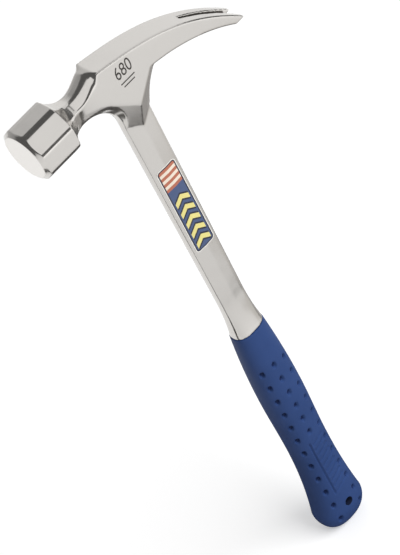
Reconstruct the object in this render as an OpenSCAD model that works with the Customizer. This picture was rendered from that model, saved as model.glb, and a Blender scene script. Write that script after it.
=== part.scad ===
/* [Overall] */
// Height from the butt to the top of the striking head
overall_h = 406; // [360:1:450]
// Reach from the handle's centre line to the striking face
face_reach = 67.7; // [62:0.5:74]
// Reach from the handle's centre line to the claw's tips
claw_reach = 82.4; // [76:0.2:90]

/* [Striking head] */
// Width of the octagonal head across its flats
drum_af = 32.6; // [29:0.2:35]
// Length of the octagonal head from the face to its back shoulder
drum_len = 25; // [21:0.1:27]
// Diameter of the flat striking face
face_d = 28.6; // [25:0.2:30]
// Length of the turned bevel behind the striking face
face_bevel = 2.7; // [1.5:0.1:4]
// Depth of the turned bevel on the eight back corners
shoulder_bevel = 1.2; // [0.8:0.2:2.4]
// Width of the neck between its side flats at the waist
neck_w = 16.2; // [14:0.2:16.8]
// Height of the neck's top over the centre of the striking head, at the waist
neck_rise = 8.6; // [7:0.2:10]
// Depth of the neck's underside below the centre of the striking head, at the waist
neck_under = 10.2; // [8:0.2:12]

/* [Cheeks] */
// Thickness of the head between the two cheek flats
block_w = 16.8; // [15:0.2:20]
// How far the top of the cheeks lies under the top of the striking head
block_drop = 2.2; // [0:0.2:3]
// Reach from the handle's centre line to the front edge of the cheeks' top
block_front = 12.4; // [11:0.2:15]
// Length of the rounded tongue where the neck's top runs into the cheeks' top
tongue_len = 4.6; // [3:0.2:6]
// Height of the cheek flat from its lower point to the top
cheek_h = 38.6; // [34:0.5:42]
// How far the cheek's lower point lies behind the handle's centre line
cheek_tip_x = 3; // [0:0.2:5]
// Length of the sloped facets between the cheeks and the shank
cheek_slope_len = 19; // [15:0.5:26]
// Bevel along the long edges of the cheeks and the claw
edge_bevel = 0.5; // [0.3:0.1:1.2]
// Radius of the arch between the neck and the shank
arch_r = 20; // [17:0.5:22]
// Reach of the crotch's curve behind the shank
crotch_reach = 16.4; // [12:0.2:19]
// Height of the crotch's curve from the shank up to the claw
crotch_h = 27; // [18:0.5:30]

/* [Claw] */
// Drop of the claw's tips below the top of the cheeks
claw_drop = 48.2; // [40:0.2:52]
// Rise of the claw's lower arc over its chord
claw_under_sag = 8.6; // [7:0.2:11]
// Length of the flat cut at the end of each prong
claw_end_len = 6.8; // [5:0.2:9]
// Width across both prongs at the tips
claw_tip_w = 15.2; // [13:0.2:17]
// Length of the nail slot from its root to the tips
slot_len = 33; // [26:0.5:38]
// Width of the nail slot at the tips, on the top side
slot_mouth_w = 5.6; // [4:0.2:7]
// Width of the nail slot at its root
slot_root_w = 1.2; // [0.8:0.1:2]
// Width of the nail slot where it begins to open towards the tips
slot_neck_w = 2.4; // [2:0.1:3.2]
// Length of the open end of the nail slot
slot_mouth_len = 10; // [6:0.5:16]
// How much wider the slot is on the under side, where the nail's head seats
slot_flare = 1.6; // [0.6:0.2:2.4]

/* [Shank] */
// Width of the shank below the head, seen from the side
shank_w = 19.2; // [17:0.2:21]
// Width of the shank above the grip, seen from the side
shank_low_w = 16.8; // [15:0.2:18]
// Thickness of the shank at its two narrow edges
shank_edge_t = 6.4; // [5.4:0.2:7.4]
// Thickness of the shank along its middle ridge
shank_mid_t = 7.6; // [7.4:0.2:9]
// Bevel along the shank's four long corners
shank_bevel = 0.8; // [0.4:0.1:1.2]
// Length of the flare where the shank thickens towards the grip
flare_len = 28; // [20:1:40]
// Width of the flare where it enters the grip
flare_w = 21.2; // [19.6:0.2:21.4]
// Thickness of the flare where it enters the grip
flare_t = 15.4; // [13:0.2:15.6]

/* [Tang] */
// Width of the flat tang inside the grip
tang_w = 15; // [12:0.5:17]
// Thickness of the flat tang inside the grip
tang_t = 5.6; // [4.6:0.2:6.4]
// Height of the tang's lower end above the butt
tang_foot = 27; // [25:0.5:34]
// Depth of the full flare below the rim of the grip
collar_depth = 7; // [4:0.5:10]
// Diameter of the holes that lock the moulding to the tang
lock_hole_d = 7; // [5:0.5:8]
// Number of locking holes
lock_holes = 4; // [2:1:5]
// Gap between the steel and the moulded grip
bond_gap = 0.05; // [0.02:0.01:0.1]

/* [Grip] */
// Height of the grip's rim above the butt
grip_len = 177; // [160:1:190]
// Width of the grip at its rim
rim_w = 22.4; // [22:0.2:24]
// Thickness of the grip at its rim
rim_t = 16.4; // [16.2:0.2:18]
// Width of the grip at the palm swell
palm_w = 27.4; // [26:0.2:32]
// Thickness of the grip at the palm swell
palm_t = 23; // [21:0.2:26]
// Height of the palm swell above the butt
palm_z = 118; // [108:1:126]
// Width of the grip at its waist
waist_w = 25.6; // [24:0.2:29]
// Thickness of the grip at its waist
waist_t = 22; // [20:0.2:24]
// Height of the waist above the butt
waist_z = 72; // [64:1:80]
// Width of the butt at its widest
butt_w = 34.2; // [32:0.2:38]
// Thickness of the butt at its widest
butt_t = 25; // [23:0.2:28]
// Height of the widest place above the butt's end
butt_z = 14.5; // [13:0.5:19]
// How far the butt's end leans towards the striking side
butt_lean = 1.6; // [0:0.2:3]
// Diameter of the hang hole
hang_d = 5.6; // [4:0.2:7]
// Height of the hang hole above the butt
hang_z = 20; // [18:0.5:22]

/* [Label] */
// Width of the label on the shank
label_w = 14.4; // [12:0.2:15]
// Length of the label on the shank
label_len = 66; // [50:1:80]
// Part of the free length between flare and cheeks that lies below the label, the rest being above it
label_low_share = 0.5984; // [0.3:0.0002:0.8]
// Corner radius of the label
label_r = 2.4; // [1:0.2:4]
// Thickness of the label
label_t = 0.16; // [0.1:0.02:0.3]

/* [Hidden] */

// Overrun of a cut past the faces that it opens
over = 1;
// The origin lies under the middle of the reach, so the handle stands in front of it
axis_x = (face_reach - claw_reach) / 2;

// Heights and reaches of the head, from the handle's centre line
drum_z = overall_h - drum_af / 2;
shoulder_x = drum_len - face_reach;
top_z = overall_h - block_drop;
neck_half = neck_w / 2;
arch_z = drum_z - neck_under - arch_r;
waist_x = -shank_w / 2 - arch_r;

// A regular octagon's corner takes this share of its width off each side
octagon_corner_share = 0.29289;
octagon_turn = 22.5;
// The bevel behind the face is bent here, by shares of its rise and of its length
face_round_shares = [0.62, 0.42];
// The shoulder falls to the neck by this power of the way left
shoulder_power = 2.4;
// The neck's top rises to the cheeks by this power of the way gone
neck_rise_power = 2.1;
// The neck's lower corners are this share higher than they are deep
neck_keel_share = 1.35;
shoulder_steps = 7;
neck_steps = 10;
arch_steps = 6;
// The web begins at this step of the neck
web_step = 4;
crotch_steps = 10;

// Sloped facets under the cheeks
cheek_tip_z = top_z - cheek_h;
shank_v_z = cheek_tip_z - cheek_slope_len;
// The label lies on the straight of the shank, between the flare and the sloped facets
flare_z = grip_len + flare_len;
label_z = flare_z + (shank_v_z - flare_z - label_len) * label_low_share;
front_slope = tan(43);
rear_slope = tan(46);

// Claw, between its top curve and its lower arc; the top falls by a straight share and a power
claw_tip_z = top_z - claw_drop;
claw_steps = 14;
claw_fall_share = 0.37;
claw_fall_power = 2.8;
claw_taper_power = 1.5;
claw_under_start = [-block_front, drum_z - neck_under];
claw_under_end = [claw_reach - claw_end_len, claw_tip_z];

// Grip's section, a rounded oval between an ellipse and a box
grip_power = 2.4;
grip_sides = 32;
grip_steps = 18;
butt_steps = 6;
butt_turn = 68;
butt_round_power = 0.65;
butt_flare_power = 2.2;

function mix(a, b, s) = a + (b - a) * s;
function smooth(s) = s * s * (3 - 2 * s);

// Radius and centre of the arc from a to b that rises by sag on the left of the way there
function arc_radius(a, b, sag) = (pow(norm(b - a) / 2, 2) + sag * sag) / (2 * sag);
function arc_centre(a, b, sag) =
    let (along = (b - a) / norm(b - a))
    (a + b) / 2 - [-along[1], along[0]] * (arc_radius(a, b, sag) - sag);
function arc_point(a, b, sag, s) =
    let (along = (b - a) / norm(b - a),
         left = [-along[1], along[0]],
         r = arc_radius(a, b, sag),
         turn = asin(norm(b - a) / 2 / r) * (2 * s - 1))
    arc_centre(a, b, sag) + r * (along * sin(turn) + left * cos(turn));
// Height at x of the upper half of that arc's circle
function arc_height(a, b, sag, x) =
    let (centre = arc_centre(a, b, sag))
    centre[1] + sqrt(pow(arc_radius(a, b, sag), 2) - pow(x - centre[0], 2));

// Closed solid through rings with the same number of points
module skin(rings) {
    n = len(rings[0]);
    last = len(rings) - 1;
    sides = [for (i = [0:last - 1], j = [0:n - 1])
        let (k = (j + 1) % n, a = i * n)
        each [[a + j, a + k, a + n + k], [a + j, a + n + k, a + n + j]]];
    ends = [[for (j = [n - 1:-1:0]) j], [for (j = [0:n - 1]) last * n + j]];
    polyhedron([for (ring = rings) each ring], concat(sides, ends));
}

// Eight-sided ring between two points of the side view, bevelled by top and by low
// across the thickness and by top and low_run along the line between them
function bevelled_ring(under, upper, half, top, low, low_run) =
    let (up = (upper - under) / norm(upper - under),
         p = upper - up * top,
         q = under + up * low_run)
    [[upper[0], half - top, upper[1]], [p[0], half, p[1]],
     [q[0], half, q[1]], [under[0], half - low, under[1]],
     [under[0], low - half, under[1]], [q[0], -half, q[1]],
     [p[0], -half, p[1]], [upper[0], top - half, upper[1]]];

// Side view drawn in X and Z, given a thickness on both sides of the middle
module thick_side(t) {
    rotate([90, 0, 0]) linear_extrude(t, center = true) children();
}

// Place on the handle's centre line
module on_axis() {
    translate([axis_x, 0, 0]) children();
}

// Point on the claw's top edge, from the front of the cheeks to the tips
function claw_top(s) =
    [mix(-block_front, claw_reach, s),
     top_z - claw_drop * mix(pow(s, claw_fall_power), s, claw_fall_share)];

// Octagonal bar along X, turned at its two ends
module drum() {
    tip_r = face_d / 2;
    corner_r = drum_af / 2 / cos(octagon_turn);
    bevel_rise = corner_r - tip_r;
    translate([-face_reach, 0, drum_z]) rotate([0, 90, 0]) intersection() {
        rotate([0, 0, octagon_turn]) cylinder(h = drum_len, r = corner_r, $fn = 8);
        rotate_extrude($fn = 96) polygon([
            [0, 0], [tip_r, 0],
            [tip_r + face_round_shares[0] * bevel_rise, face_round_shares[1] * face_bevel],
            [corner_r, face_bevel],
            [corner_r, drum_len - shoulder_bevel],
            [corner_r - shoulder_bevel, drum_len], [0, drum_len]]);
    }
}

// Point on the arch between the neck and the shank, turned from its crown
function arch_point(turn) = [waist_x + arch_r * sin(turn), arch_z + arch_r * cos(turn)];
block_turn = asin((-block_front - waist_x) / arch_r);

// Lower edge of the cheek flat in front of its lower point
function cheek_front_z(x) = cheek_tip_z + (cheek_tip_x - x) * front_slope;
function cheek_rear_z(x) = cheek_tip_z + (x - cheek_tip_x) * rear_slope;
// Half thickness of the front sloped facet at a place below the cheek flat
function facet_half(x, z) =
    let (fall = cheek_front_z(x) - (shank_v_z - x * front_slope))
    mix(block_w / 2, shank_edge_t / 2, (cheek_front_z(x) - z) / fall);

// Forged neck from the striking head to the front of the cheeks
module neck() {
    corner = octagon_corner_share * neck_w;
    seat = drum_af / 2 - shoulder_bevel;
    function shoulder_ring(x, k) =
        let (cut = mix(corner, 2 * seat * octagon_corner_share, k),
             keel = mix(corner * neck_keel_share, 2 * seat * octagon_corner_share, k))
        bevelled_ring([x, drum_z - mix(neck_under, seat, k)], [x, drum_z + mix(neck_rise, seat, k)],
                      mix(neck_half, seat, k), cut, cut, keel);
    front_rings = [for (i = [0:shoulder_steps - 1])
        let (s = i / shoulder_steps)
        shoulder_ring(mix(shoulder_x, waist_x, s), pow(1 - s, shoulder_power))];
    last = arch_point(block_turn);
    end_low = block_w / 2 - facet_half(last[0], last[1]);
    end_run = cheek_front_z(last[0]) - last[1];
    tongue_s = 1 - tongue_len / (-block_front - waist_x);
    rear_rings = [for (i = [0:neck_steps])
        let (under = arch_point(block_turn * i / neck_steps),
             s = (under[0] - waist_x) / (-block_front - waist_x),
             rise = pow(min(1, s / tongue_s), neck_rise_power),
             spread = pow(max(0, (s - tongue_s) / (1 - tongue_s)), 2))
        bevelled_ring(under, [under[0], mix(drum_z + neck_rise, top_z, rise)],
                      mix(neck_half, block_w / 2, s), mix(corner, edge_bevel, spread),
                      mix(corner, end_low, s), mix(corner * neck_keel_share, end_run, s))];
    skin(concat([shoulder_ring(shoulder_x - shoulder_bevel, 1)], front_rings, rear_rings));
}

// Cheek block and claw as one bar that tapers along its curve
module claw_bar() {
    skin([for (i = [0:claw_steps])
        let (s = i / claw_steps)
        bevelled_ring(arc_point(claw_under_start, claw_under_end, claw_under_sag, s), claw_top(s),
                      mix(block_w, claw_tip_w, pow(s, claw_taper_power)) / 2,
                      edge_bevel, edge_bevel, edge_bevel)]);
}

// Nail slot, narrow at first and open at the tips, wider on the under side
module nail_slot() {
    module reach(from_x, from_w, to_x, to_w) {
        module plan(grow) {
            polygon([[from_x, -from_w / 2 - grow], [from_x, from_w / 2 + grow],
                     [to_x, to_w / 2 + grow], [to_x, -to_w / 2 - grow]]);
        }
        hull() {
            translate([0, 0, top_z]) linear_extrude(over) plan(0);
            translate([0, 0, claw_tip_z - over]) linear_extrude(over) plan(slot_flare);
        }
    }
    neck_x = claw_reach - slot_mouth_len;
    reach(claw_reach - slot_len, slot_root_w, neck_x, slot_neck_w);
    reach(neck_x, slot_neck_w, claw_reach + over, slot_mouth_w);
}

// Web that carries the cheek flats down to the shank
module web() {
    root_x = shank_w / 2 + crotch_reach;
    root_z = arc_height(claw_under_start, claw_under_end, claw_under_sag, root_x) + edge_bevel / 2;
    back = root_x + over;
    low_front = arch_point(block_turn * web_step / neck_steps);
    outline = concat(
        [for (i = [web_step:neck_steps]) arch_point(block_turn * i / neck_steps)],
        [for (i = [1:arch_steps]) arch_point(mix(block_turn, 90, i / arch_steps))],
        [[-shank_w / 2, shank_v_z], [shank_w / 2, shank_v_z]],
        [for (i = [0:crotch_steps])
            let (turn = 90 * i / crotch_steps)
            [root_x - crotch_reach * cos(turn), root_z - crotch_h * (1 - sin(turn))]],
        [[back, root_z], [back, drum_z], [low_front[0], drum_z]]);
    intersection() {
        thick_side(block_w + over) polygon(outline);
        hull() {
            thick_side(block_w) polygon([
                [-block_front, cheek_front_z(-block_front)], [cheek_tip_x, cheek_tip_z],
                [back, cheek_rear_z(back)], [back, drum_z], [-block_front, drum_z]]);
            thick_side(shank_edge_t) polygon([
                [low_front[0], shank_v_z - low_front[0] * front_slope], [0, shank_v_z],
                [back, shank_v_z + back * rear_slope], [back, drum_z], [low_front[0], drum_z]]);
        }
    }
}

// Turns of the section's points in a quarter, once the shank is as round as its flare
shank_turns = [14, 38, 64, 90];
// Ring of the shank at one height: flat sides with a middle ridge, or an oval as round goes to 1
function shank_ring(z, w, edge_t, mid_t, round) =
    let (a = w / 2, e = edge_t / 2, m = mid_t / 2, c = shank_bevel,
         flat = [[a, e - c], [a - c, e], [a / 2, (e + m) / 2], [0, m]],
         quarter = [for (i = [0:3])
             mix(flat[i], [a * cos(shank_turns[i]), m * sin(shank_turns[i])], round)])
    [for (p = quarter) [p[0], p[1], z],
     for (i = [2:-1:0]) [-quarter[i][0], quarter[i][1], z],
     for (i = [0:3]) [-quarter[i][0], -quarter[i][1], z],
     for (i = [2:-1:0]) [quarter[i][0], -quarter[i][1], z]];

// The shank's width at a height above its flare
function shank_width(z) =
    mix(shank_low_w, shank_w, (z - grip_len - flare_len) / (arch_z - grip_len - flare_len));

flare_steps = 8;
flare_power = 2;
function flare_ring(z, s, grow) =
    let (k = pow(s, flare_power))
    shank_ring(z, mix(shank_low_w, flare_w, k) + grow, mix(shank_edge_t, flare_t, k) + grow,
               mix(shank_mid_t, flare_t, k) + grow, smooth(s));

// Shank from the web down to the end of its flare inside the grip
module shank() {
    skin(concat(
        [shank_ring(arch_z, shank_w, shank_edge_t, shank_mid_t, 0)],
        [for (i = [0:flare_steps]) flare_ring(grip_len + flare_len * (1 - i / flare_steps), i / flare_steps, 0)],
        [flare_ring(grip_len - collar_depth, 1, 0)]));
}

// Heights of the holes through the tang
function lock_z(i) =
    mix(tang_foot + tang_w / 2, grip_len - collar_depth, (i + 0.5) / lock_holes);

// Collar and tang inside the grip, larger by gap on every side
module buried_steel(gap) {
    top = grip_len - collar_depth;
    skin([flare_ring(grip_len + (gap > 0 ? over : 0), 1, 2 * gap), flare_ring(top - gap, 1, 2 * gap)]);
    w = tang_w + 2 * gap;
    t = tang_t + 2 * gap;
    foot = tang_foot + tang_w / 2;
    difference() {
        union() {
            translate([-w / 2, -t / 2, foot]) cube([w, t, top - foot + collar_depth / 2]);
            translate([0, 0, foot]) rotate([90, 0, 0]) cylinder(h = t, d = w, center = true, $fn = 64);
        }
        for (i = [0:lock_holes - 1])
            translate([0, 0, lock_z(i)]) rotate([90, 0, 0])
                cylinder(h = t + over, d = lock_hole_d - 2 * gap, center = true, $fn = 48);
    }
}

module forged_body() {
    color("#c9c7c3") on_axis() {
        difference() {
            claw_bar();
            nail_slot();
        }
        drum();
        neck();
        web();
        shank();
        buried_steel(0);
    }
}

// Half width and half thickness of the grip at one height
function grip_half(z) =
    let (butt = [butt_w, butt_t], waist = [waist_w, waist_t], palm = [palm_w, palm_t], rim = [rim_w, rim_t])
    (z < waist_z ? mix(waist, butt, pow((waist_z - z) / (waist_z - butt_z), butt_flare_power))
     : z < palm_z ? mix(waist, palm, smooth((z - waist_z) / (palm_z - waist_z)))
     : mix(palm, rim, pow((z - palm_z) / (grip_len - palm_z), 2))) / 2;

function grip_ring(z, half) =
    let (lean = butt_lean * pow(max(0, (waist_z - z) / waist_z), butt_flare_power))
    [for (i = [0:grip_sides - 1])
        let (turn = 360 * i / grip_sides, c = cos(turn), s = sin(turn))
        [half[0] * sign(c) * pow(abs(c), 2 / grip_power) - lean,
         half[1] * sign(s) * pow(abs(s), 2 / grip_power), z]];

// Outer form of the grip, from the rim down to the rounded butt
module grip_form() {
    skin(concat(
        [for (i = [0:grip_steps])
            let (z = mix(grip_len, butt_z, i / grip_steps))
            grip_ring(z, grip_half(z))],
        [for (i = [1:butt_steps])
            let (turn = butt_turn * i / butt_steps)
            grip_ring(butt_z * (1 - sin(turn) / sin(butt_turn)),
                      grip_half(butt_z) * pow(cos(turn), butt_round_power))]));
}

module moulded_grip() {
    color("#37528f") on_axis() difference() {
        grip_form();
        buried_steel(bond_gap);
        translate([0, 0, hang_z]) rotate([90, 0, 0])
            cylinder(h = butt_t + over, d = hang_d, center = true, $fn = 64);
    }
}

// Printed film on the visible side of the shank, bent over the ridge
module shank_label() {
    module side_band(grow) {
        skin([for (z = [label_z + label_len + over, label_z - over])
            shank_ring(z, shank_width(z), shank_edge_t + grow, shank_mid_t + grow, 0)]);
    }
    color("#44567c") on_axis() intersection() {
        difference() {
            side_band(2 * label_t);
            side_band(0);
        }
        translate([0, -shank_mid_t / 2, label_z]) rotate([90, 0, 0])
            linear_extrude(shank_mid_t, center = true) hull() {
                for (x = [-1, 1], z = [label_r, label_len - label_r])
                    translate([x * (label_w / 2 - label_r), z]) circle(label_r, $fn = 32);
            }
    }
}

forged_body();
moulded_grip();
shank_label();
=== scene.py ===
import math

import bmesh
import bpy
from mathutils import Matrix, Vector


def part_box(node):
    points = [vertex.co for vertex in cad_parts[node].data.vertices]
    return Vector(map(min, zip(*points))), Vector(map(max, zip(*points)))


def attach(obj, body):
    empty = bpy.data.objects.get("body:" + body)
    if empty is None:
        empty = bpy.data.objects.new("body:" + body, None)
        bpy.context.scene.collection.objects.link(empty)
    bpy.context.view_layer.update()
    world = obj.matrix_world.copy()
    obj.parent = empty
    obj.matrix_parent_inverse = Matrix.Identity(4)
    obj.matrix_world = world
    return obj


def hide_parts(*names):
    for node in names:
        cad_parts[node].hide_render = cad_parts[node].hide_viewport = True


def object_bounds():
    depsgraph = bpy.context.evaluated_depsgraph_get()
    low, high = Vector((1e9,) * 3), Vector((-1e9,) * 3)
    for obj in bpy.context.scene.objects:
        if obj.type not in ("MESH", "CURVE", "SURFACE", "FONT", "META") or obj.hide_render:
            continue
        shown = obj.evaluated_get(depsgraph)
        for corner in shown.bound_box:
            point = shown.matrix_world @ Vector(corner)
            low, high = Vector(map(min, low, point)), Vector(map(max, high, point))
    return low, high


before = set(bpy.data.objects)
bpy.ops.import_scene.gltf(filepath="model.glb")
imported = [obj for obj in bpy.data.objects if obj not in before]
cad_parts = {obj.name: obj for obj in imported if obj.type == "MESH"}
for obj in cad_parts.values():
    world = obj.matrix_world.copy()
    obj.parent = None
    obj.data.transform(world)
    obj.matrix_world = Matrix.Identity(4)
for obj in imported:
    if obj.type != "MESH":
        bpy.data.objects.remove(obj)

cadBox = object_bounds()
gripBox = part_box("moulded_grip")
print("frame loaded")

# All modelling below is in millimetres, and a finished piece is brought down to metres
toMetres = 0.001
handle = {
    "faceToAxis": 67.7,  # striking face to the centre line of shank and grip
    "ovalPower": 2.4,    # squareness of the grip's section, 2 is an ellipse
}
height = cadBox[1][2] / toMetres  # butt to the top of the striking head
faceX = cadBox[0][0] / toMetres   # striking face
tipX = cadBox[1][0] / toMetres    # claw tips
rimZ = gripBox[1][2] / toMetres   # upper end of the grip
axisX = faceX + handle["faceToAxis"]


def mix(a, b, s):
    return a + (b - a) * s


def smooth(s):
    s = min(1, max(0, s))
    return s * s * (3 - 2 * s)


def newObject(name, bm):
    bm.normal_update()
    mesh = bpy.data.meshes.new(name)
    bm.to_mesh(mesh)
    bm.free()
    obj = bpy.data.objects.new(name, mesh)
    bpy.context.scene.collection.objects.link(obj)
    return obj


# Small arc at a corner of a ring, always with the same number of points; it takes no more
# than mostRun of either side, so that two neighbours never meet
def cornerArc(back, here, ahead, radius, steps=3, mostRun=0.42):
    here = Vector(here)
    toBack, toAhead = Vector(back) - here, Vector(ahead) - here
    turn = math.pi - toBack.angle(toAhead, math.pi)
    run = min(radius * math.tan(turn / 2), mostRun * toBack.length, mostRun * toAhead.length)
    start = here + toBack.normalized() * run
    end = here + toAhead.normalized() * run
    shares = [k / steps for k in range(steps + 1)]
    return [start * (1 - s) ** 2 + here * 2 * s * (1 - s) + end * s * s for s in shares]


def roundedRing(corners, radius):
    points = []
    for i, here in enumerate(corners):
        points += cornerArc(corners[i - 1], here, corners[(i + 1) % len(corners)], radius)
    return points


# Closed body through rings that have the same number of points
def loftRings(rings):
    bm = bmesh.new()
    loops = []
    for ring in rings:
        verts = [bm.verts.new(p) for p in ring]
        loops.append([bm.edges.new((v, verts[(i + 1) % len(verts)]))
                      for i, v in enumerate(verts)])
    for low, high in zip(loops, loops[1:]):
        bmesh.ops.bridge_loops(bm, edges=low + high)
    for loop in (loops[0], loops[-1]):
        bmesh.ops.contextual_create(bm, geom=loop)
    bmesh.ops.recalc_face_normals(bm, faces=bm.faces)
    return bm


# Flat sheet of one face, with its middle at place
def addSheet(bm, place, wide, long):
    bmesh.ops.create_grid(bm, x_segments=1, y_segments=1, size=0.5,
                          matrix=place @ Matrix.Diagonal((wide, long, 1, 1)))


# Gives the flat faces a thickness along Y
def thicken(bm, thick):
    wall = bmesh.ops.extrude_face_region(bm, geom=bm.faces[:])
    moved = [g for g in wall["geom"] if isinstance(g, bmesh.types.BMVert)]
    bmesh.ops.translate(bm, verts=moved, vec=(0, thick, 0))
    bmesh.ops.recalc_face_normals(bm, faces=bm.faces)


# Flat outline in X and Z, thick to both sides of the middle plane
def plate(outline, thick):
    bm = bmesh.new()
    bm.faces.new([bm.verts.new((x, -thick / 2, z)) for x, z in outline])
    thicken(bm, thick)
    return bm


def hullOf(points):
    bm = bmesh.new()
    for p in points:
        bm.verts.new(p)
    made = bmesh.ops.convex_hull(bm, input=bm.verts)
    spare = {g for g in made["geom_interior"] + made["geom_unused"]
             if isinstance(g, bmesh.types.BMVert)}
    bmesh.ops.delete(bm, geom=list(spare), context="VERTS")
    bmesh.ops.recalc_face_normals(bm, faces=bm.faces)
    return bm


def applyModifier(obj, kind, **values):
    modifier = obj.modifiers.new(kind.lower(), kind)
    for name, value in values.items():
        setattr(modifier, name, value)
    bpy.context.view_layer.objects.active = obj
    bpy.ops.object.modifier_apply(modifier=modifier.name)


def combine(obj, tool, operation):
    applyModifier(obj, "BOOLEAN", object=tool, operation=operation, solver="EXACT")
    bpy.data.objects.remove(tool)


# Squared ring of the claw between two points of the side view, its four corners cut by cut
def clawRing(under, upper, half, cut, radius):
    up = (upper - under).normalized()
    p = upper - up * cut
    q = under + up * cut
    corners = [(upper[0], half - cut, upper[1]), (p[0], half, p[1]),
               (q[0], half, q[1]), (under[0], half - cut, under[1]),
               (under[0], cut - half, under[1]), (q[0], -half, q[1]),
               (p[0], -half, p[1]), (upper[0], cut - half, upper[1])]
    corners = [(x + axisX, y, z) for x, y, z in corners]
    return roundedRing(corners, radius)


# Striking head, neck, cheeks and claw. Reaches are counted from the handle's centre line
head = {
    "drumWidth": 32.6, "drumLength": 25, "faceWidth": 28.6, "faceBevel": 2.7, "backBevel": 1.2,
    "drumEdgeRadius": 4.6, "drumSpare": 0.2,
    "neckWidth": 16.2, "neckRise": 8.6, "neckUnder": 11, "neckEdgeRadius": 2.2,
    "cheekWidth": 16.8, "cheekEdgeRadius": 6.5, "topDrop": 2.2, "cheekFront": 12.4, "tongue": 4.6,
    "cheekHeight": 38.6, "cheekTip": 3, "slopeLength": 19, "frontFacet": 43, "rearFacet": 46,
    "cornerCut": 0.5, "edgeRadius": 0.7,
    "archRadius": 19.6, "crotchReach": 16.4, "crotchHeight": 27, "crotchPull": 0.552,
    "clawDrop": 48.2, "clawUnderRise": 8.6, "clawRootDrop": 10.2, "clawEnd": 6.8,
    "clawTipWidth": 15.2, "taperFrom": 0.33, "taperPower": 1.3, "topPower": 2.8, "topBlend": 0.37,
    "slotLength": 33, "slotRoot": 1.2, "slotNeck": 2.4, "slotMouth": 5.6, "slotMouthLength": 10,
    "slotFlare": 1.6, "slotPast": 1, "tipSpare": 0.3,
}
# Softened edge of the striking face: out from its rim and back from its plane
faceEdge = [(-0.5, 0), (-0.15, 0.05), (0.1, 0.25), (0.35, 0.5)]
# Middle of the rounded back edge, in from the bar and from its end, as shares of backBevel
backRound = (0.35, 0.4)
# Rounded nose along the neck's underside and round the arch: half thickness, and depth from
# its crown
nose = [(0, 0), (1.2, 0.1), (2.2, 0.38), (3.1, 0.85), (3.7, 1.4), (4.3, 2.0), (5.1, 2.7),
        (6.1, 3.5), (7, 4.4), (7.7, 5.5), (8.15, 6.7), (8.4, 8)]
shank = {
    "width": 20.2, "lowWidth": 18, "edgeThick": 6.4, "middleThick": 7.6, "nose": 1,
    "flareLength": 28, "flareWidth": 22.2, "flareThick": 16.2, "flarePower": 2,
    "collarWidth": 18.2, "collarThick": 12.4, "collarStep": 0.01, "insideGrip": 7,
    "seam": 0.05, "intoWeb": 1,
}
drumZ = height - head["drumWidth"] / 2
topZ = height - head["topDrop"]
faceReach = faceX - axisX
clawReach = tipX - axisX
waistX = -shank["width"] / 2 - head["archRadius"]  # where the neck's underside meets the arch
archZ = drumZ - head["neckUnder"] - head["archRadius"]
cheekTipZ = topZ - head["cheekHeight"]
shankTipZ = cheekTipZ - head["slopeLength"]
clawTipZ = topZ - head["clawDrop"]
frontSlope = math.tan(math.radians(head["frontFacet"]))
rearSlope = math.tan(math.radians(head["rearFacet"]))
octagonCorner = 0.29289  # share of an octagon's width that each corner takes off


# Eight-sided bar whose edges are well rounded, turned at both ends
def makeStrikingHead(edgeSteps=5, turnSteps=120):
    centre = Matrix.Translation((faceX, 0, drumZ)) @ Matrix.Rotation(math.pi / 2, 4, "Y")
    cornerR = head["drumWidth"] / 2 / math.cos(math.pi / 8)
    length, bevel = head["drumLength"], head["backBevel"]
    bm = bmesh.new()
    bmesh.ops.create_cone(bm, cap_ends=True, segments=8, radius1=cornerR, radius2=cornerR,
                          depth=length, matrix=centre @ Matrix.Translation((0, 0, length / 2))
                          @ Matrix.Rotation(math.pi / 8, 4, "Z"))
    lengthways = [e for e in bm.edges if abs(e.verts[0].co.x - e.verts[1].co.x) > 1]
    bmesh.ops.bevel(bm, geom=lengthways, offset=head["drumEdgeRadius"] * math.tan(math.pi / 8),
                    segments=edgeSteps, profile=0.5, affect="EDGES", material=-1)
    bar = newObject("bar", bm)
    tipR = head["faceWidth"] / 2
    outerR = cornerR + head["drumSpare"]
    # Turned outline: the face, its softened edge and bevel, the bar, and a rounded back edge
    outline = [(0, 0)] + [(tipR + out, along) for out, along in faceEdge]
    outline += [(outerR, head["faceBevel"] * (1 + head["drumSpare"] / (cornerR - tipR))),
                (outerR, length - bevel),
                (cornerR - backRound[0] * bevel, length - backRound[1] * bevel),
                (cornerR - bevel, length), (0, length)]
    bm = bmesh.new()
    verts = [bm.verts.new((r, 0, along)) for r, along in outline]
    edges = [bm.edges.new(pair) for pair in zip(verts, verts[1:])]
    bmesh.ops.spin(bm, geom=verts + edges, axis=(0, 0, 1), cent=(0, 0, 0), angle=2 * math.pi,
                   steps=turnSteps, use_merge=True)
    bmesh.ops.remove_doubles(bm, verts=bm.verts, dist=0.0005)
    bmesh.ops.recalc_face_normals(bm, faces=bm.faces)
    bmesh.ops.transform(bm, verts=bm.verts, matrix=centre)
    combine(bar, newObject("turning", bm), "INTERSECT")
    return bar


def archPoint(turn):
    return (waistX + head["archRadius"] * math.sin(turn),
            archZ + head["archRadius"] * math.cos(turn))


def cheekFrontZ(x):
    return cheekTipZ + (head["cheekTip"] - x) * frontSlope


# Half thickness of the cheek, or of the sloped facet below its front
def slopeHalf(x, z):
    fall = cheekFrontZ(x) - (shankTipZ - x * frontSlope)
    share = min(1, max(0, (cheekFrontZ(x) - z) / fall))
    return mix(head["cheekWidth"] / 2, shank["edgeThick"] / 2, share)


# Height of the neck's underside at x, on the line that lies lift outside the arch
def underZ(x, lift):
    inArch = max(0, x - waistX)
    return archZ + math.sqrt((head["archRadius"] + lift) ** 2 - inArch ** 2)


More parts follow.
